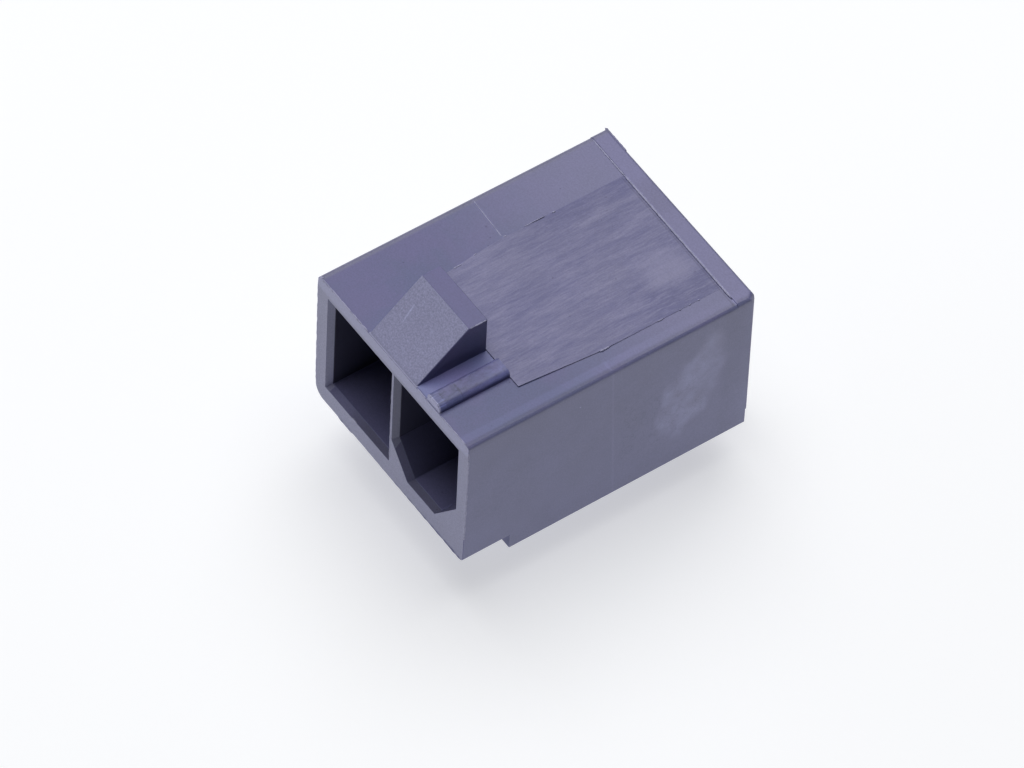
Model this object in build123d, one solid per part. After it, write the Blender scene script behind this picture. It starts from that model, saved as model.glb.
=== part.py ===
from build123d import *
import math
import os

# A right-angle power header for a circuit board: one moulded housing with a walled pocket for each
# circuit, and a round contact pin in each pocket whose tail turns down through the board.
# X runs along the row, the mating face looks towards -Y, and Z is up. The origin lies on the board,
# midway between the two solder tails. All sizes are in millimetres.

# Circuits
circuits = 2
pitch = 7.5

# Pockets, measured at their mouths
mouth_width = 7.3
mouth_height = 9.12
pocket_depth = 16.4
lead_in_depth = 0.5
lead_in_inset = 0.23
pocket_corner = 0.12
key_width = 1.9
key_height = 2.45
core_draft = 0.15

# Housing walls
left_wall = 1.18
right_wall = 1.07
bottom_wall = 1.54
top_wall = 1.26
rear_wall = 6.2
wall_draft = 0.2
left_lean = 0.48
right_lean = 0.65

# Outer corners of the long edges, and the rounding of the faces at each end
top_left_radius = 0.42
top_right_radius = 0.28
bottom_left_radius = 0.95
bottom_right_radius = 0.25
front_rounding = 0.05
rear_left_radius = 0.15
rear_right_radius = 0.42
rear_top_radius = 0.25
rear_corner_radius = 0.5

# Rear parting ridge: the last stretch of the top stands proud of the rest
ridge_from_rear = 1.45
ridge_step = 0.06
ridge_skew = 0.18

# Latch ramp on the top
ramp_offset = -0.17
ramp_width = 5.3
ramp_start = 0.1
ramp_length = 5.4
ramp_plateau = 1.45
ramp_height = 3.18
ramp_edge = 0.08

# Guide rib beside the ramp
rib_start = 0.06
rib_offset = 4.39
rib_width = 1.44
rib_height = 0.6
rib_left_rounding = 0.26
rib_right_rounding = 0.42

# Machined pad behind the ramp
pad_left = 4.05
pad_right = 6.07
pad_height = 0.09
pad_left_widest = 4.58
pad_right_widest = 6.57
pad_widest_at = 11.7
pad_left_rear = 4.4
pad_narrowed_at = 17.5

# Feet: two rails that hold the housing off the board
foot_height = 1.17
foot_width = 1.6
foot_setback = 3.72
foot_rear_gap = 0.18

# Contact pins, which sit a little below the middle of their pockets
pin_radius = 0.9
pin_fit = 0.01
pin_drop = 0.77
pin_recess = 5.4
pin_tip_radius = 0.45
pin_tip_length = 1.1
collar_radius = 1.4
collar_length = 0.8
bend_radius = 1.5
bend_clearance = 0.1
tail_radius = 0.7
tail_length = 3.4
tail_taper_length = 0.6
tail_tip_radius = 0.45
shoulder_height = 0.65
shoulder_length = 0.1

# Sizes that follow from the ones above
housing_length = pocket_depth + rear_wall
row_width = (circuits - 1) * pitch + mouth_width
body_height = bottom_wall + mouth_height + top_wall
body_top = foot_height + body_height
pocket_bottom = foot_height + bottom_wall
pin_height = pocket_bottom + mouth_height / 2 - pin_drop
rear_face = -(bend_radius + bend_clearance)
front_face = rear_face - housing_length
pocket_floor = front_face + pocket_depth
circuit_places = [(i - (circuits - 1) / 2) * pitch for i in range(circuits)]


def draft_inset(distance, degrees):
    """How far a drafted wall has moved in after a distance along the draw."""
    return distance * math.tan(math.radians(degrees))


def rounded(face, corner, radius):
    """The face with its vertex nearest to one corner rounded."""
    return fillet(face.vertices().sort_by_distance(corner)[0], radius)


def wall_at(side, distance, height):
    """Where a side wall's outer face is, at a distance behind the mating face and a height."""
    wall, lean = (left_wall, left_lean) if side < 0 else (right_wall, right_lean)
    inset = draft_inset(distance, wall_draft) + draft_inset(body_top - height, lean)
    return side * (row_width / 2 + wall - inset)


def top_at(distance):
    """Height of the drafted top at a distance behind the mating face."""
    return body_top - draft_inset(distance, wall_draft)


def body_section(distance, rise=0.0):
    """Outer outline of the body at a distance behind the mating face, its top raised by a rise."""
    low = foot_height
    high = top_at(distance) + rise
    corners = (
        (wall_at(-1, distance, high), high, top_left_radius),
        (wall_at(1, distance, high), high, top_right_radius),
        (wall_at(1, distance, low), low, bottom_right_radius),
        (wall_at(-1, distance, low), low, bottom_left_radius),
    )
    outline = make_face(Polyline(*[(x, z) for x, z, _ in corners], close=True))
    for x, z, radius in corners:
        outline = rounded(outline, (x, z), radius)
    return Plane.XZ.offset(-(front_face + distance)) * outline


def corner_trim(right, crest):
    """What stays when the rear right corner is rounded from above, across the corner."""
    outermost = (right + rear_face) / math.sqrt(2) - rear_right_radius * (math.sqrt(2) - 1)
    profile = Pos(outermost - row_width, 0) * Rectangle(2 * row_width, 2 * crest)
    profile = rounded(profile, (outermost, crest), rear_corner_radius)
    across = Plane(origin=(0, 0, 0), x_dir=(1, 1, 0), z_dir=(1, -1, 0))
    return extrude(across * profile, 2 * row_width, both=True)


def rear_end():
    """The last stretch of the body, raised behind the skewed parting ridge and rounded at the rear."""
    start = housing_length - ridge_from_rear
    block = loft([body_section(start, ridge_step), body_section(housing_length, ridge_step)], ruled=True)
    left = wall_at(-1, housing_length, body_top)
    right = wall_at(1, housing_length, body_top)
    plan = Polyline(
        (left, front_face + start + ridge_skew),
        (right, front_face + start),
        (right, rear_face),
        (left, rear_face),
        close=True,
    )
    plan = rounded(make_face(plan), (right, rear_face), rear_right_radius)
    plan = rounded(plan, (left, rear_face), rear_left_radius)
    crest = top_at(housing_length) + ridge_step
    profile = Polyline(
        (front_face, foot_height),
        (rear_face, foot_height),
        (rear_face, crest),
        (front_face, body_top + ridge_step),
        close=True,
    )
    profile = rounded(make_face(profile), (rear_face, crest), rear_top_radius)
    limits = extrude(Plane.YZ * profile, row_width, both=True) & extrude(plan, crest)
    return block & limits & corner_trim(right, crest)


def body():
    """The plain outer block, with the proud stretch behind the rear parting ridge."""
    end = housing_length - ridge_from_rear + ridge_skew
    main = loft([body_section(0), body_section(end)], ruled=True)
    main = fillet(main.faces().sort_by(Axis.Y)[0].edges(), front_rounding)
    return main + rear_end()


def pocket_outline(inset, keyed):
    """A pocket's outline, drawn in all round by an inset; the keyed one has two slanted lower corners."""
    # The right slant has no lead-in, so it lies in one plane from the mouth to the throat.
    grown = max(0, lead_in_inset - inset)
    right_key_width = key_width + grown * (1 + key_width / key_height)
    right_key_height = key_height + grown * (1 + key_height / key_width)
    half = mouth_width / 2 - inset
    low = pocket_bottom + inset
    high = pocket_bottom + mouth_height - inset
    if keyed:
        points = [
            (-half, high),
            (half, high),
            (half, low + right_key_height),
            (half - right_key_width, low),
            (-half + key_width, low),
            (-half, low + key_height),
        ]
    else:
        points = [(-half, high), (half, high), (half, low), (-half, low)]
    return make_face(Polyline(*points, close=True))


def pocket(keyed):
    """The space of one pocket: a sloped lead-in at the mouth and a drafted well behind it."""
    mouth = Plane.XZ.offset(-front_face) * pocket_outline(0, keyed)
    throat_plane = Plane.XZ.offset(-(front_face + lead_in_depth))
    throat = throat_plane * pocket_outline(lead_in_inset, keyed)
    end_inset = lead_in_inset + draft_inset(pocket_depth - lead_in_depth, core_draft)
    end = Plane.XZ.offset(-pocket_floor) * pocket_outline(end_inset, keyed)
    well = loft([throat, end], ruled=True)
    well = fillet(well.edges().filter_by(lambda edge: abs(edge.tangent_at(0).Y) > 0.9), pocket_corner)
    return loft([mouth, throat], ruled=True) + well


def ramp():
    """Latch ramp: a slope that rises from the mating face to a short flat top and a steep back."""
    base = top_at(housing_length)
    start = front_face + ramp_start
    back = start + ramp_length
    crest = body_top + ramp_height
    profile = Polyline(
        (start, base),
        (start, top_at(ramp_start)),
        (back - ramp_plateau, crest),
        (back, crest),
        (back, base),
        close=True,
    )
    solid = extrude(Plane.YZ.offset(ramp_offset) * make_face(profile), ramp_width / 2, both=True)
    edges = solid.edges().filter_by(lambda edge: edge.center().Z > (body_top + crest) / 2 - ramp_edge)
    return fillet(edges, ramp_edge)


def rib():
    """Low rounded guide rib between the ramp and the right-hand edge."""
    base = top_at(housing_length)
    crest = body_top + rib_height
    outline = Pos(0, (base + crest) / 2) * Rectangle(rib_width, crest - base)
    for side, radius in ((-1, rib_left_rounding), (1, rib_right_rounding)):
        outline = rounded(outline, (side * rib_width / 2, crest), radius)
    place = Plane.XZ.offset(-(front_face + rib_start)) * Pos(rib_offset, 0)
    bar = extrude(place * outline, -(ramp_start + ramp_length - rib_start))
    front_edges = bar.faces().sort_by(Axis.Y)[0].edges().filter_by(lambda edge: edge.center().Z > body_top)
    return fillet(front_edges, ramp_edge)


def pad():
    """Machined pad behind the ramp, proud at its front end and level with the top at the rear."""
    start = ramp_start + ramp_length
    base = top_at(housing_length) - pad_height
    profile = Polyline(
        (front_face + start, base),
        (front_face + start, top_at(start) + pad_height),
        (front_face + housing_length - ridge_from_rear, top_at(housing_length - ridge_from_rear)),
        (front_face + housing_length - ridge_from_rear, base),
        close=True,
    )
    block = extrude(Plane.YZ * make_face(profile), row_width / 2, both=True)
    outline = Polyline(
        (-pad_left, front_face + start),
        (pad_right, front_face + start),
        (pad_right_widest, front_face + pad_widest_at),
        (pad_right_widest, rear_face),
        (-pad_left_rear, rear_face),
        (-pad_left_rear, front_face + pad_narrowed_at),
        (-pad_left_widest, front_face + pad_widest_at),
        close=True,
    )
    return block & extrude(make_face(outline), body_top + pad_height)


def foot(side):
    """One rail under the body, flush with a side wall, with a flat sole which stands on the board."""
    high = foot_height + bottom_wall / 2
    low = -foot_height
    sections = []
    for distance in (foot_setback, housing_length - foot_rear_gap):
        inner = wall_at(side, distance, 0) - side * foot_width
        outline = Polyline(
            (wall_at(side, distance, low), low),
            (wall_at(side, distance, high), high),
            (inner, high),
            (inner, low),
            close=True,
        )
        sections.append(Plane.XZ.offset(-(front_face + distance)) * make_face(outline))
    middle = (front_face + rear_face) / 2
    above_board = Pos(0, middle, high / 2) * Box(2 * row_width, housing_length, high)
    return loft(sections, ruled=True) & above_board


def pin_hole(place):
    """The bore through the rear wall that grips one contact pin."""
    bore = Cylinder(pin_radius + pin_fit, rear_wall + 2, rotation=(90, 0, 0))
    return Pos(place, (pocket_floor + rear_face) / 2, pin_height) * bore


def housing():
    """The moulded housing in one piece."""
    solid = body() + ramp() + rib() + pad() + foot(-1) + foot(1)
    for index, place in enumerate(circuit_places):
        keyed = index % 2 == 1
        solid -= Pos(place, 0, 0) * pocket(keyed)
        solid -= pin_hole(place)
    return solid


def cone(plane, first_radius, last_radius, length):
    """A cone along a plane's normal, from one radius to another."""
    return loft([plane * Circle(first_radius), plane.offset(length) * Circle(last_radius)], ruled=True)


def contact_pin(place):
    """A round contact: tapered tip, collar against the pocket floor, bend and a thinner solder tail."""
    tip = front_face + pin_recess
    path = FilletPolyline(
        (0, tip + pin_tip_length, pin_height),
        (0, 0, pin_height),
        (0, 0, shoulder_height),
        radius=bend_radius,
    )
    wire_plane = Plane(origin=path @ 0, z_dir=path % 0)
    pin = sweep(wire_plane * Circle(pin_radius), path)
    point = Plane(origin=(0, tip, pin_height), z_dir=(0, 1, 0))
    pin += cone(point, pin_tip_radius, pin_radius, pin_tip_length)
    collar = Plane(origin=(0, pocket_floor - collar_length, pin_height), z_dir=(0, 1, 0))
    pin += extrude(collar * Circle(collar_radius), collar_length)
    shoulder = Plane.XY.offset(shoulder_height - shoulder_length)
    pin += cone(shoulder, tail_radius, pin_radius, shoulder_length)
    tail_end = Plane.XY.offset(-tail_length)
    pin += cone(tail_end, tail_tip_radius, tail_radius, tail_taper_length)
    straight = tail_length - tail_taper_length + shoulder_height - shoulder_length
    pin += extrude(tail_end.offset(tail_taper_length) * Circle(tail_radius), straight)
    return Pos(place, 0, 0) * pin


os.makedirs("parts", exist_ok=True)
export_step(housing(), "parts/housing.step")
for number, place in enumerate(circuit_places, start=1):
    export_step(contact_pin(place), f"parts/contact_pin_{number}.step")
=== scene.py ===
import math
from types import SimpleNamespace

import bpy
from mathutils import Euler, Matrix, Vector


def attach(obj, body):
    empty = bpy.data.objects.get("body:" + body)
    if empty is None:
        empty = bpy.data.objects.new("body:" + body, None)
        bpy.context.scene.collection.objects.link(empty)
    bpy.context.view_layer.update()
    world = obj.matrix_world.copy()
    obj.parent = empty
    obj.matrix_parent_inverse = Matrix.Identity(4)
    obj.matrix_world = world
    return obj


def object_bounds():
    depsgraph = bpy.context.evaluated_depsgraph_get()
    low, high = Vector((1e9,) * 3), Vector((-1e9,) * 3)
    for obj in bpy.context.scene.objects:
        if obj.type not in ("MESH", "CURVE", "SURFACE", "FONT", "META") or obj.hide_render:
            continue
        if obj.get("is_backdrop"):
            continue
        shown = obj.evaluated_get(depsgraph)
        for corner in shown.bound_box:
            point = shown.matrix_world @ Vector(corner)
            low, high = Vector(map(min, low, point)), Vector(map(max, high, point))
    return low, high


# A right-angle power header, moulded in slate-violet plastic, standing on a white table.
# The frame is the circuit board's: X along the row, the mating face towards -Y, Z up.
# Blender works in metres; a name that ends in _mm is in millimetres.

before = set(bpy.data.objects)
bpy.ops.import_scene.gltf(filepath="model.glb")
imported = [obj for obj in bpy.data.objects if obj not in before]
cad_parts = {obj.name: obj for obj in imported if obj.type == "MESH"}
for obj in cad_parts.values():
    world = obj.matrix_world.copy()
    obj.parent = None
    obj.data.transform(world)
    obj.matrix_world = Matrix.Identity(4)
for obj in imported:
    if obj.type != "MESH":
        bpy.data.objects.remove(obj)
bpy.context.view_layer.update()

MM = 0.001

# Camera, as it stood for the photograph
CAMERA_PLACE = (0.385305, -0.306393, 0.614175)
CAMERA_TURN = (38.3494, -1.8448, 55.1919)
CAMERA_LENS = 422.361
HALF_PIXEL = 0.5 / 1024

# Colours of the plastic, from the darkest to the palest
# Painted shade: the colour inside the pockets and on their lead-ins
POCKET_PAINTED_SHADE = (0.105, 0.105, 0.212, 1)
COOL_VIOLET = (0.092, 0.103, 0.234, 1)
WARM_VIOLET = (0.110, 0.105, 0.248, 1)
GROUND_DARK = (0.120, 0.121, 0.256, 1)
REAR_BAND = (0.172, 0.168, 0.322, 1)
# Paler towards the rear of the top
PALER_TOWARDS_REAR = (0.176, 0.174, 0.314, 1)
# Painted light on the side walls
WALL_PAINTED_LIGHT = (0.176, 0.181, 0.316, 1)
# Painted highlight on the left and rear rims of the top
RIM_PAINTED_HIGHLIGHT = (0.180, 0.180, 0.265, 1)
GROUND_LIGHT = (0.220, 0.217, 0.360, 1)
# Painted light: the paler grey on the front faces, ramp slope, lips, two lead-ins and right edge, and the darker
# end of the fins' colour
PAINTED_LIGHT_GREY = (0.228, 0.232, 0.365, 1)
# Pale fins and edges: worn pale, and a painted highlight along the parting-line fins
WORN_AND_HIGHLIT = (0.33, 0.33, 0.49, 1)

# Colours of the contacts and of the table
TIN = (0.72, 0.71, 0.68, 1)
DULL_TIN = (0.60, 0.585, 0.55, 1)
TABLE_WHITE = (0.535, 0.54, 0.55, 1)
TABLE_TOOTH = (0.528, 0.533, 0.543, 1)
TABLE_LIGHT = (0.97, 0.98, 1.0, 1)
TABLE_GLOW = 0.535
ROOM_LIGHT = 0.03
WHITE = (1, 1, 1, 1)
PLASTIC_IOR = 1.5

# Places on the housing, in millimetres
FRONT_MM = -24.2
TOP_MM = 13.09
LIP_MM = (TOP_MM - 0.12, TOP_MM - 0.08)
RIDGE_MM = -3.05
RAMP_BACK_MM = -18.7
RAMP_SIDES_MM = (-2.84, 2.5)
RIB_SIDES_MM = (3.64, 5.14)
OUTER_WALL_MM = (7.9, 8.0)
POCKETS_SIDE_MM = 7.4
POCKETS_HEIGHTS_MM = (2.7, 11.84)
PAD_LEFT_MM = -4.05
PAD_RIGHT_MM = 6.07
PAD_WIDEST_MM = -12.5
PAD_SPREAD_MM = 0.5

# Shares of a surface's direction between which it counts as turned that way
TURNED = (0.85, 0.95)

# Soft edges of regions: crisp where the shape has an edge, feathered where it has none
CRISP_MM = 0.02
FEATHERED = 0.05


class Channel:
    """A shader socket to reckon with: each sum or product adds a Math node."""

    def __init__(self, recipe, socket):
        self.recipe = recipe
        self.socket = socket

    def maths(self, operation, *values):
        sockets = dict(enumerate(values))
        return self.recipe.node("ShaderNodeMath", {"operation": operation}, sockets)

    def __add__(self, other):
        return self.maths("ADD", self, other)

    def __radd__(self, other):
        return self.maths("ADD", other, self)

    def __sub__(self, other):
        return self.maths("SUBTRACT", self, other)

    def __rsub__(self, other):
        return self.maths("SUBTRACT", other, self)

    def __mul__(self, other):
        return self.maths("MULTIPLY", self, other)

    def __rmul__(self, other):
        return self.maths("MULTIPLY", other, self)

    def __truediv__(self, other):
        return self.maths("DIVIDE", self, other)

    def __abs__(self):
        return self.maths("ABSOLUTE", self)

    def least(self, other):
        return self.maths("MINIMUM", self, other)

    def most(self, other):
        return self.maths("MAXIMUM", self, other)

    def rise(self, low, high):
        """0 below low, 1 above high, smooth between them; a low above high turns it round."""
        settings = {"interpolation_type": "SMOOTHSTEP", "clamp": True}
        sockets = {"Value": self, "From Min": low, "From Max": high, "To Min": 0.0, "To Max": 1.0}
        if low > high:
            sockets.update({"From Min": high, "From Max": low, "To Min": 1.0, "To Max": 0.0})
        return self.recipe.node("ShaderNodeMapRange", settings, sockets)

    def between(self, low, high, soft):
        """1 between two values and 0 outside them, with soft ends."""
        return self.rise(low - soft, low) * self.rise(high + soft, high)


class Recipe:
    """One material and its nodes."""

    def __init__(self, name):
        self.material = bpy.data.materials.new(name)
        self.material.use_nodes = True
        self.tree = self.material.node_tree
        self.tree.nodes.clear()

    def node(self, kind, settings=None, sockets=None, output=0):
        """Adds one node: its settings first, then the values or links of its sockets."""
        node = self.tree.nodes.new(kind)
        for name, value in (settings or {}).items():
            setattr(node, name, value)
        for key, value in (sockets or {}).items():
            if isinstance(value, Channel):
                self.tree.links.new(value.socket, node.inputs[key])
            else:
                node.inputs[key].default_value = value
        return Channel(self, node.outputs[output])

    def place_mm(self):
        """The place on the object, in millimetres, as a vector and its three parts."""
        spot = self.node("ShaderNodeTexCoord", output="Object")
        spot = self.node("ShaderNodeVectorMath", {"operation": "SCALE"}, {0: spot, "Scale": 1 / MM})
        return spot, *self.parts(spot)

    def parts(self, vector):
        """The three parts of a vector."""
        first = self.node("ShaderNodeSeparateXYZ", sockets={0: vector})
        outputs = first.socket.node.outputs
        return [Channel(self, socket) for socket in outputs]

    def facing(self):
        """The three parts of the surface's outward direction."""
        return self.parts(self.node("ShaderNodeNewGeometry", output="Normal"))

    def vector(self, x, y, z):
        return self.node("ShaderNodeCombineXYZ", sockets={0: x, 1: y, 2: z})

    def noise(self, vector, scale, detail=2.0, roughness=0.5):
        sockets = {"Vector": vector, "Scale": scale, "Detail": detail, "Roughness": roughness}
        return self.node("ShaderNodeTexNoise", sockets=sockets)

    def near(self, place, centre, radius, soft):
        """1 within a radius of a point and 0 beyond it, with a soft edge."""
        sockets = {0: place, 1: centre}
        distance = self.node("ShaderNodeVectorMath", {"operation": "DISTANCE"}, sockets, "Value")
        return distance.rise(radius + soft, radius)

    def specks(self, place, per_mm, share, size):
        """Small round dots: each cell holds one or none, as a random share says."""
        settings = {"feature": "F1"}
        sockets = {"Vector": place, "Scale": per_mm, "Randomness": 1.0}
        cell = self.node("ShaderNodeTexVoronoi", settings, sockets)
        outputs = cell.socket.node.outputs
        chance, *_ = self.parts(Channel(self, outputs["Color"]))
        return cell.rise(size, size * 0.4) * chance.rise(1.0 - share - 0.01, 1.0 - share)

    def mix(self, factor, first, second):
        """One colour turned into another by a factor."""
        sockets = {0: factor, 6: first, 7: second}
        return self.node("ShaderNodeMix", {"data_type": "RGBA"}, sockets, output=2)

    def brightened(self, colour, factor):
        """A colour times a number that varies over the surface."""
        sockets = {0: colour, "Scale": factor}
        return self.node("ShaderNodeVectorMath", {"operation": "SCALE"}, sockets)

    def bump(self, height, distance, strength=1.0):
        sockets = {"Height": height, "Distance": distance, "Strength": strength}
        return self.node("ShaderNodeBump", sockets=sockets)

    def surface(self, sockets):
        """Ends the recipe in one principled surface."""
        shader = self.node("ShaderNodeBsdfPrincipled", sockets=sockets)
        end = self.tree.nodes.new("ShaderNodeOutputMaterial")
        self.tree.links.new(shader.socket, end.inputs["Surface"])
        return self.material


def housing_regions(recipe):
    """A point's place and direction on the housing, and regions that are 1 inside and 0 outside."""
    at = SimpleNamespace()
    at.place, at.x, at.y, at.z = recipe.place_mm()
    at.across, at.along, at.up = recipe.facing()
    x, y, z = at.x, at.y, at.z
    across, along, up = at.across, at.along, at.up

    # Outer faces
    at.on_top = up.rise(0.90, 0.97) * z.rise(TOP_MM - 0.5, TOP_MM - 0.3)
    at.right_wall = across.rise(*TURNED) * x.rise(*OUTER_WALL_MM)
    at.outer_wall = abs(across).rise(*TURNED) * abs(x).rise(*OUTER_WALL_MM)
    at.front = along.rise(-0.85, -0.95) * y.rise(FRONT_MM + 0.2, FRONT_MM + 0.1)

    # Ramp, rib, the gutter between them, and the lips below their front ends
    at.ramp_side = across.rise(*TURNED) * z.rise(TOP_MM + 0.05, TOP_MM + 0.1) * x.rise(3.0, 2.9)
    at.slope = up.between(0.70, 0.84, 0.04) * z.rise(TOP_MM, TOP_MM + 0.1) * along.rise(-0.4, -0.5)
    rib = x.between(3.7, 5.1, FEATHERED) * z.rise(TOP_MM + 0.1, TOP_MM + 0.3)
    at.rib = rib * y.rise(-18.6, -18.75) * up.rise(-0.2, 0.3)
    gutter = x.between(2.5, 3.66, 0.03) * y.between(-24.0, -18.75, 0.1)
    at.gutter = gutter * z.rise(TOP_MM + 0.2, TOP_MM + 0.1) * at.on_top
    ramp_foot = x.between(*RAMP_SIDES_MM, CRISP_MM) * z.rise(*LIP_MM)
    at.rib_foot = x.between(*RIB_SIDES_MM, CRISP_MM) * z.rise(*LIP_MM)
    lip = ramp_foot.most(at.rib_foot) * y.rise(FRONT_MM + 0.2, FRONT_MM + 0.14)
    at.lip = lip.least(up.rise(-0.5, 0.1))

    # Pockets and their lead-ins
    around_pockets = x.between(-POCKETS_SIDE_MM, POCKETS_SIDE_MM, CRISP_MM)
    around_pockets = around_pockets * z.between(*POCKETS_HEIGHTS_MM, CRISP_MM)
    at.inside = around_pockets * y.between(-23.72, -7.7, CRISP_MM)
    at.floor = at.inside * up.rise(0.45, 0.8)
    at.lead_in = around_pockets * y.between(-24.17, -23.75, CRISP_MM)
    at.left_lead_in = x.rise(-6.85, -7.0) * at.lead_in
    at.divider_lead_in = x.between(0.0, 0.5, FEATHERED) * z.rise(4.2, 4.6) * at.lead_in

    # Ground pad behind the ramp, which widens towards the middle
    spread = y.rise(RAMP_BACK_MM, PAD_WIDEST_MM) * PAD_SPREAD_MM
    within = (x - PAD_LEFT_MM + spread).rise(-0.03, 0.03) * (PAD_RIGHT_MM + spread - x).rise(-0.03, 0.03)
    at.pad = within * y.between(RAMP_BACK_MM, RIDGE_MM, 0.03) * at.on_top

    # Edges and rims of the top, and the distance behind the rear parting line, which lies askew
    at.margin = x.between(7.5, 7.9, 0.2) * at.on_top
    at.edge = x.rise(7.85, 8.1) * at.on_top
    at.right_edge = up.between(0.25, 0.85, FEATHERED) * x.rise(8.1, 8.2)
    at.left_rim = x.rise(-7.9, -8.2) * up.rise(0.2, 0.6)
    at.rear_rim = along.rise(0.25, 0.5) * up.between(0.25, 0.93, FEATHERED)
    at.from_ridge = y + x * 0.01003 + 3.0127
    return at


def add_textures(recipe, at):
    """Irregular fields that several looks share, from broad clouds to fine grain, pits and dust, and the patch of
    painted sheen on the right wall.
    """
    at.cloud = recipe.noise(at.place, 0.22, 3.0, 0.55)
    at.patches = recipe.noise(at.place, 0.55, 3.0, 0.6)
    at.grain = recipe.noise(at.place, 9.0, 2.0, 0.6)
    at.pits = recipe.specks(at.place, 2.2, 0.10, 0.16)
    at.dust = recipe.specks(at.place, 1.1, 0.06, 0.07)
    drift = recipe.noise(at.place, 0.5, 2.0, 0.5) * 0.35
    at.lines = recipe.noise(recipe.vector((at.x + drift) * 8.0, at.y * 0.9, at.z * 0.2), 1.0, 4.0, 0.68)
    at.wear = recipe.noise(recipe.vector(at.x * 3.2, at.y * 1.8, at.z * 3.0), 1.0, 3.0, 0.6)

    # The patch of painted sheen on the right wall, which is also a little glossier, leans, and its edge is ragged
    off_height = at.z - 7.2
    off_middle = at.y + 6.2 - off_height * 0.3
    mottle = recipe.noise(recipe.vector(at.x, at.y * 1.2, at.z * 0.8), 0.45, 2.0, 0.5)
    rubbed = off_middle * off_middle * 0.17 + off_height * off_height * 0.055 + (mottle - 0.5) * 2.2
    at.rubbed = rubbed.rise(1.3, 0.4) * at.right_wall


def ground_pad(recipe, at):
    """Colour of the ground pad: short lines along Y, a dull smear, a smooth spot, a darker left side."""
    x, y, z = at.x, at.y, at.z
    broad = recipe.noise(recipe.vector(x * 1.6, y * 0.3, z * 0.2), 1.0, 3.0, 0.5)
    smooth_spot = recipe.near(at.place, (3.5, -5.2, TOP_MM), 0.6, 2.0)
    smear = x.between(4.9, 6.2, 0.8) * y.between(-7.2, -3.6, 1.5) * at.on_top
    left_side = x.rise(-2.6, -4.0) * y.rise(-12.5, -8.0)
    behind_ramp = recipe.near(at.place, (0.85, -16.4, TOP_MM), 0.1, 0.9)
    shade = (at.lines - 0.5) * (2.0 + smear * 1.5) * (1.0 - smooth_spot * 0.5) + (broad - 0.5) * 1.3
    shade = shade + 0.5 - smear * 0.35 - left_side * 0.35 + smooth_spot * 0.55 + behind_ramp * 0.3
    return recipe.mix(shade.least(1.2).most(-0.2), GROUND_DARK, GROUND_LIGHT)


def top_tone(at):
    """Brightness added on the top: painted light on its right margin, painted shade on its outermost edge, painted
    highlights along its parting lines and on the rear one's step with a line of painted shade before it, and the
    painted shade behind them.
    """
    x, y, z, from_ridge = at.x, at.y, at.z, at.from_ridge
    # Along the rear parting line: a painted highlight, a line of painted shade just before it, painted light on its
    # step and painted shade behind it
    ridge_light = from_ridge.between(-0.04, 0.07, FEATHERED) * x.rise(-4.7, -4.2) * at.on_top
    ridge_dark = from_ridge.between(-0.24, -0.17, FEATHERED) * x.rise(-4.7, -4.2) * at.on_top
    ridge_step = at.along.rise(-0.4, -0.7) * y.between(-3.2, -2.8, FEATHERED) * z.rise(12.9, 13.0)
    band_shadow = from_ridge.rise(0.0, 0.1) * x.between(-3.0, -1.0, 1.0) * at.on_top
    # Painted highlights along the middle parting line and where it crosses the right margin
    from_middle = y + 12.34 + (x + 8.2) * 0.053
    middle_line = from_middle.between(-0.05, 0.07, 0.07) * x.rise(-4.4, -4.7) * at.on_top
    right_line = (y + 12.95).between(-0.06, 0.06, 0.08) * x.rise(7.1, 7.5) * at.on_top
    # Painted light on the right margin, stronger towards the front, and painted shade on the outermost edge
    tone = at.margin * (0.04 + y.rise(-6.0, -12.0) * 0.13) - at.edge * 0.16 - band_shadow * 0.09
    tone = tone + ridge_light * 0.35 + ridge_step * 0.5 - ridge_dark * 0.18
    return tone + middle_line * 0.13 + right_line * 0.15


def wall_tone(recipe, at):
    """Brightness added on the right wall: a patch of painted sheen with dull curls in it, a painted highlight on
    its parting line, a speck, painted light towards its foot and at its low rear corner, and painted shade along
    its top and in a band near its rear end.
    """
    y, z = at.y, at.z
    # The bright core of the painted sheen
    core = recipe.near(at.place, (8.42, -6.2, 8.9), 0.3, 1.9)
    curls = abs(recipe.noise(at.place, 1.3, 2.0, 0.5) - 0.5).rise(0.03, 0.0)
    curls = curls * y.between(-11.5, -5.5, 0.8) * z.between(3.2, 8.4, 0.5)
    parting_line = (y + 12.4 + (z - 2.3) * 0.05).between(-0.05, 0.05, 0.06)
    low_corner = y.rise(-3.8, -2.6) * z.rise(4.8, 3.0)
    shaded_band = y.between(-3.6, -2.8, 0.7)
    # Painted sheen in the core, dull curls, painted light at the low rear corner, painted shade in a band near the
    # rear end and a painted highlight on the parting line
    tone = core * 0.08 - curls * 0.16 + low_corner * 0.05 - shaded_band * 0.06 + parting_line * 0.09
    # Mottling, painted light towards the foot of the wall and painted shade along its top
    tone = tone + (at.patches - 0.5) * 0.16 + z.rise(11.0, 1.0) * 0.11 + 0.02 - z.rise(12.3, 12.8) * 0.09
    speck = recipe.near(at.place, (8.42, -15.42, 11.18), 0.03, 0.05)
    # The patch of painted sheen, and a pale speck
    return tone * at.right_wall + at.rubbed * (0.27 + (at.patches - 0.5) * 0.9) + speck * 0.8


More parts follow.
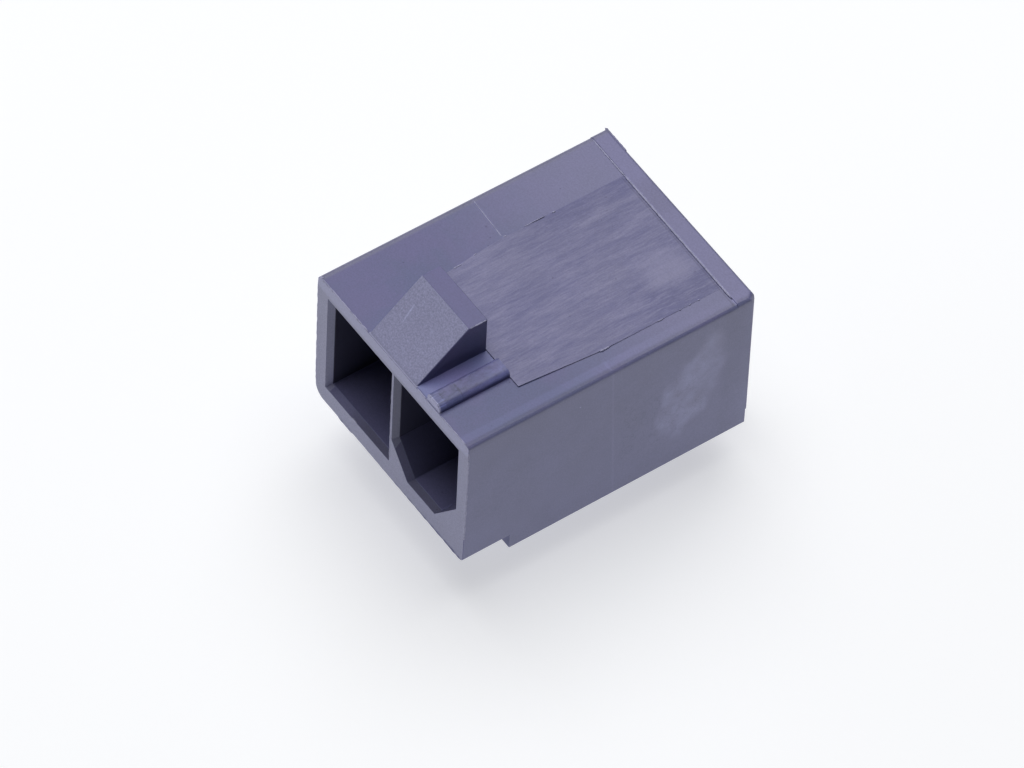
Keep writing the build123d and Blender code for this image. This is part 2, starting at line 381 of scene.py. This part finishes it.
def ramp_and_rib_tone(recipe, at):
    """Brightness added on the ramp and the rib: painted light and a scratch on the slope; spots, cuts and lines on
    the rib, with painted light on its right side and towards its rear; painted light in the gutter and on the rib's
    front lip.
    """
    x, y, z = at.x, at.y, at.z
    stretched = recipe.vector(x + (y + 22.0) * 0.2, y * 0.12, 0.0)
    scratch = recipe.near(stretched, (-1.64, -2.635, 0.0), 0.03, 0.06)
    cross_lines = y.between(-23.56, -23.46, 0.03) + y.between(-22.34, -22.24, 0.03)
    end_lines = recipe.noise(recipe.vector(x * 11.0, y * 0.8, z * 0.5), 1.0, 1.0, 0.4).rise(0.5, 0.6)
    rib_marks = (at.wear - 0.5) * 1.1 - cross_lines * 0.25 + y.rise(-23.4, -23.5) * (0.1 + end_lines * 0.5)
    # Painted light on the rib's right side and towards its rear
    rib_painted_light = y.rise(-21.5, -19.5) * 0.32 - 0.06 + at.across.rise(0.4, 0.8) * 0.5
    # Painted light on the slope, in the gutter and on the rib's front lip
    tone = at.slope * (0.11 + scratch * 0.4) + at.rib * (rib_marks + rib_painted_light)
    return tone + at.gutter * 0.5 + at.lip * at.rib_foot * 0.15


def shaded(tone, at):
    """The brightness, with painted shade: less in the pockets and with their depth but more on their floors, less
    on the ramp's right side, and fitted to each lead-in, as painted light at the left and painted shade towards the
    middle and at the divider.
    """
    # Painted shade in the pockets, less of it on their floors and more with their depth, and painted shade on the
    # ramp's right side
    tone = tone * (1.0 - at.inside * 0.70 + at.floor * 1.1) * (1.0 - at.ramp_side * 0.3)
    tone = tone * (1.0 - at.floor * at.y.rise(-22.0, -15.5) * 0.8)
    # Painted light on the lead-ins at the left, painted shade on those towards the middle and on the divider's
    low_lead_in = 0.3 - at.x.rise(-5.5, -2.3) * 0.52
    special = at.left_lead_in.most(at.divider_lead_in)
    return tone * (1.0 + at.lead_in * (1.0 - special) * low_lead_in) * (1.0 - at.divider_lead_in * 0.34)


def plastic_colour(recipe, at):
    """The plain plastic's colour first, then the places where it differs, one over the other."""
    colour = recipe.mix((at.cloud - at.patches * 0.5).rise(0.1, 0.4), COOL_VIOLET, WARM_VIOLET)
    # Faces given painted light: the front, the ramp slope, the lips and the left and divider lead-ins
    painted_light_faces = (at.front + at.slope + at.lip + at.left_lead_in + at.divider_lead_in).least(1.0)
    for region, other in (
        # The top, paler towards its rear
        (at.on_top * at.y.rise(-19.0, -4.0) * 0.85, PALER_TOWARDS_REAR),
        (at.on_top * at.from_ridge.rise(-0.05, 0.05), REAR_BAND),
        # Painted highlight on the left and rear rims
        (at.left_rim.most(at.rear_rim) * 0.75, RIM_PAINTED_HIGHLIGHT),
        # Painted light on the rounded right edge of the top
        (at.right_edge * 0.35, PAINTED_LIGHT_GREY),
        # Painted shade in the pockets and on their lead-ins
        (at.inside.most(at.lead_in), POCKET_PAINTED_SHADE),
        (at.pad, ground_pad(recipe, at)),
        # Painted light on the side walls
        (at.outer_wall, WALL_PAINTED_LIGHT),
        # Painted light on the front faces, ramp slope, lips and two lead-ins
        (painted_light_faces, PAINTED_LIGHT_GREY),
    ):
        colour = recipe.mix(region, colour, other)
    return colour


def moulded_plastic():
    """Slate-violet plastic: painted light on its walls, front faces and ramp slope, painted shade in its pockets, a
    patch of painted sheen on the right wall, a grainy ramp slope and a ground pad with lines along Y.
    """
    recipe = Recipe("moulded_violet_plastic")
    at = housing_regions(recipe)
    add_textures(recipe, at)
    tone = 1.0 + (at.cloud - 0.5) * 0.25 + (at.grain - 0.5) * (0.45 + at.slope * 0.7 + at.front * 0.3)
    # Dark pits, pale dust, and a painted highlight along the top of the front face
    tone = tone - at.pits * 0.28 + at.dust * 0.5 + at.front * at.z.rise(11.9, 12.3) * 0.28
    tone = tone + top_tone(at) + wall_tone(recipe, at) + ramp_and_rib_tone(recipe, at)
    colour = recipe.brightened(plastic_colour(recipe, at), shaded(tone, at))
    roughness = 0.46 + (at.cloud - 0.5) * 0.12 + at.pad * (0.10 + (at.lines - 0.5) * 0.2)
    roughness = roughness + at.slope * 0.18 - at.rubbed * 0.08
    height = at.grain * (0.3 + at.slope * 0.9) + at.pad * at.lines - at.pits * 0.8 + at.dust + at.rib * at.wear
    normal = recipe.bump(height, 0.012 * MM, 1.0)
    sockets = {"Base Color": colour, "Roughness": roughness, "Normal": normal, "IOR": PLASTIC_IOR}
    return recipe.surface(sockets)


def worn_and_highlit_plastic():
    """The same plastic where a thin fin or an edge is worn pale, and where the parting-line fins are pale as a
    painted highlight.
    """
    recipe = Recipe("worn_and_highlit_violet_plastic")
    place, *_ = recipe.place_mm()
    broken = recipe.noise(place, 2.3, 3.0, 0.6)
    grain = recipe.noise(place, 14.0, 2.0, 0.6)
    colour = recipe.mix(broken.rise(0.35, 0.55), PAINTED_LIGHT_GREY, WORN_AND_HIGHLIT)
    colour = recipe.brightened(colour, 0.8 + grain * 0.4)
    normal = recipe.bump(grain, 0.01 * MM, 1.0)
    roughness = 0.5 + (broken - 0.5) * 0.2
    sockets = {"Base Color": colour, "Roughness": roughness, "Normal": normal, "IOR": PLASTIC_IOR}
    return recipe.surface(sockets)


def plated_metal():
    """Tin plating over drawn brass wire: faint lines along the wire and dull patches."""
    recipe = Recipe("tin_plated_contact")
    place, x, y, z = recipe.place_mm()
    lines = recipe.noise(recipe.vector(x * 9.0, y * 0.6, z * 0.6), 1.0, 3.0, 0.6)
    cloud = recipe.noise(place, 0.9, 3.0, 0.5)
    colour = recipe.mix(cloud.rise(0.35, 0.7), TIN, DULL_TIN)
    roughness = 0.26 + (cloud - 0.5) * 0.2 + (lines - 0.5) * 0.12
    normal = recipe.bump(lines, 0.006 * MM, 1.0)
    return recipe.surface({"Base Color": colour, "Roughness": roughness, "Metallic": 1.0, "Normal": normal})


def table_paper():
    """Matt white acrylic over a dim light, with hardly any tooth."""
    recipe = Recipe("white_table")
    place, *_ = recipe.place_mm()
    tooth = recipe.noise(place, 1.4, 3.0, 0.5)
    colour = recipe.mix(tooth, TABLE_WHITE, TABLE_TOOTH)
    return recipe.surface({
        "Base Color": colour,
        "Roughness": 0.9,
        "Specular IOR Level": 0.1,
        "Emission Color": TABLE_LIGHT,
        "Emission Strength": TABLE_GLOW,
    })


def clear_selection():
    bpy.ops.object.select_all(action="DESELECT")


def give(obj, material):
    """Puts one material in every slot of an object."""
    if not obj.data.materials:
        obj.data.materials.append(material)
    for index in range(len(obj.data.materials)):
        obj.data.materials[index] = material


def wobble(step, seed):
    """A repeatable number between -1 and 1 that looks irregular from step to step."""
    return 0.6 * math.sin(2.3 * step + 1.7 * seed) + 0.4 * math.sin(5.1 * step + 0.9 * seed)


def bead(name, axis, start, end, halves, steps, unevenness, seed, material, first_share=1.0):
    """A thin raised fin between two points, half sunk in the wall, uneven and thin at its ends.

    The axis is the one it mostly follows; halves are its half thicknesses along the other two. It
    swells from first_share of its thickness to the whole.
    """
    turns = {"X": (0, math.pi / 2, 0), "Y": (math.pi / 2, 0, 0), "Z": (0, 0, 0)}
    first = Vector(start) * MM
    stride = (Vector(end) - Vector(start)) * MM / steps
    along = "XYZ".index(axis)
    clear_selection()
    bpy.ops.mesh.primitive_circle_add(vertices=8, radius=MM, fill_type="NGON", rotation=turns[axis])
    fin = bpy.context.object
    fin.name = name
    bpy.ops.object.transform_apply(location=True, rotation=True, scale=True)
    thickness = list(halves)
    thickness.insert(along, 1.0)
    bpy.ops.object.mode_set(mode="EDIT")
    bpy.ops.mesh.select_all(action="SELECT")
    end_share = 0.25
    scale = [value if i == along else value * end_share for i, value in enumerate(thickness)]
    bpy.ops.transform.resize(value=scale, center_override=(0, 0, 0))
    bpy.ops.transform.translate(value=first)
    share = end_share
    for step in range(1, steps + 1):
        growth = first_share + (1.0 - first_share) * step / steps
        fullness = end_share if step == steps else growth * (1.0 + unevenness * wobble(step, seed))
        ratio = fullness / share
        share = fullness
        bpy.ops.mesh.extrude_region_move(TRANSFORM_OT_translate={"value": stride})
        swell = [1.0 if i == along else ratio for i in range(3)]
        bpy.ops.transform.resize(value=swell, center_override=first + stride * step)
    bpy.ops.mesh.select_all(action="SELECT")
    bpy.ops.mesh.normals_make_consistent(inside=False)
    bpy.ops.object.mode_set(mode="OBJECT")
    bpy.ops.object.shade_smooth()
    give(fin, material)
    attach(fin, "root")


def add_fins(material, dark):
    """The mould's fins and burrs: along the parting lines, the front edges and the pad's edges."""
    bead("rear_parting_fin", "X", (-4.6, -2.967, 13.06), (7.7, -3.09, 13.06), (0.08, 0.06), 32, 0.15, 1, material)
    bead("rear_parting_fin_left", "X", (-8.2, -2.93, 13.01), (-4.5, -2.967, 13.045), (0.06, 0.035), 16, 0.1, 3,
         material)
    bead("middle_parting_fin_left", "X", (-8.2, -12.34, 13.05), (-4.62, -12.53, 13.05), (0.035, 0.03), 12, 0.3, 2,
         material)
    bead("front_top_fin_left", "X", (-8.15, -24.17, 13.08), (-2.95, -24.17, 13.08), (0.06, 0.06), 24, 0.4, 4,
         material)
    bead("front_top_fin_middle", "X", (2.6, -24.17, 13.08), (3.6, -24.17, 13.08), (0.04, 0.04), 6, 0.3, 5, material)
    bead("front_top_fin_right", "X", (5.2, -24.17, 13.08), (8.2, -24.17, 13.08), (0.04, 0.04), 12, 0.4, 6, material)
    bead("front_right_fin", "Z", (8.34, -24.16, 3.4), (8.43, -24.16, 12.7), (0.05, 0.06), 30, 0.5, 7, material)
    bead("front_left_fin", "Z", (-8.49, -24.16, 2.2), (-8.56, -24.16, 12.8), (0.04, 0.05), 30, 0.4, 8, material)
    bead("front_corner_burr", "X", (-8.46, -24.13, 12.93), (-8.06, -24.11, 13.1), (0.09, 0.09), 8, 0.1, 9, material)
    bead("divider_fin", "Z", (-0.08, -24.19, 3.2), (-0.08, -24.19, 10.2), (0.035, 0.03), 24, 0.5, 10, material)
    bead("rear_corner_lip", "X", (-8.52, -1.66, 12.95), (-6.1, -1.68, 12.96), (0.1, 0.09), 16, 0.15, 11, dark)
    bead("ramp_edge_fin", "Y", (2.47, -18.78, 16.23), (2.46, -20.1, 16.23), (0.045, 0.045), 10, 0.5, 15, material)
    bead("bottom_wall_burr", "X", (-5.9, -24.18, 1.19), (-4.2, -24.18, 1.19), (0.05, 0.07), 10, 0.2, 12, material)
    bead("front_bottom_fin", "X", (-3.6, -24.17, 1.18), (8.2, -24.17, 1.18), (0.08, 0.08), 40, 0.3, 14, dark,
         first_share=0.2)
    bead("bottom_wall_nick", "X", (-4.3, -24.18, 2.72), (-3.75, -24.18, 2.72), (0.05, 0.07), 6, 0.2, 13, material)
    flecks = (
        (6.57, -12.7, -11.9, 0.06), (6.57, -8.2, -7.7, 0.05), (6.57, -6.5, -6.3, 0.05), (6.56, -5.7, -5.5, 0.05),
        (6.56, -5.0, -4.8, 0.05), (-4.17, -16.7, -16.0, 0.05), (-4.38, -15.0, -14.7, 0.05),
        (-4.58, -12.5, -12.2, 0.06), (-4.55, -10.9, -9.2, 0.035), (-4.52, -8.7, -8.4, 0.05),
    )
    for number, (x, near_end, far_end, half) in enumerate(flecks, start=1):
        height = TOP_MM + 0.06 - (near_end - RAMP_BACK_MM) * 0.0085
        steps = max(3, round((far_end - near_end) / 0.12))
        bead(f"pad_edge_fleck_{number}", "Y", (x, far_end, height), (x, near_end, height), (half, 0.05), steps, 0.3,
             number, material)


def make_table(material):
    """A wide level table top under the ends of the solder tails."""
    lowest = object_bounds()[0].z
    clear_selection()
    bpy.ops.mesh.primitive_plane_add(size=6.0, location=(0, 0, lowest - 0.02 * MM))
    table = bpy.context.object
    table.name = "table"
    bpy.ops.object.transform_apply(location=True, rotation=True, scale=True)
    give(table, material)
    table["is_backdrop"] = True


def soft_lamp(name, place, aim, size, power):
    """A rectangular soft box that faces a point."""
    lamp = bpy.data.lights.new(name, "AREA")
    lamp.shape = "RECTANGLE"
    lamp.size, lamp.size_y = size
    lamp.energy = power
    box = bpy.data.objects.new(name, lamp)
    box.location = place
    box.rotation_euler = (Vector(aim) - Vector(place)).to_track_quat("-Z", "Y").to_euler()
    bpy.context.scene.collection.objects.link(box)


def set_light():
    """A wide soft box above on the left, a low card in front on the left, and a dim white room."""
    world = bpy.data.worlds.new("room")
    bpy.context.scene.world = world
    world.use_nodes = True
    background = world.node_tree.nodes["Background"]
    background.inputs["Color"].default_value = WHITE
    background.inputs["Strength"].default_value = ROOM_LIGHT
    soft_lamp("overhead_box", (-0.14, 0.09, 0.58), (0, -0.012, 0), (0.6, 0.7), 4.0)
    soft_lamp("front_card", (-0.5, -0.42, 0.17), (0, -0.012, 0.01), (1.2, 0.36), 1.4)


def set_camera():
    view = bpy.data.cameras.new("camera")
    view.lens = CAMERA_LENS
    view.sensor_width = 36
    view.shift_x = -HALF_PIXEL
    view.shift_y = HALF_PIXEL
    view.clip_start = 0.1
    view.clip_end = 20
    camera = bpy.data.objects.new("camera", view)
    camera.location = CAMERA_PLACE
    camera.rotation_euler = Euler([math.radians(turn) for turn in CAMERA_TURN])
    bpy.context.scene.collection.objects.link(camera)
    bpy.context.scene.camera = camera


plastic = moulded_plastic()
metal = plated_metal()
give(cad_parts["housing"], plastic)
for pin in ("contact_pin_1", "contact_pin_2"):
    give(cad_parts[pin], metal)
add_fins(worn_and_highlit_plastic(), plastic)

make_table(table_paper())
set_light()
set_camera()
bpy.context.scene.view_settings.view_transform = "Standard"
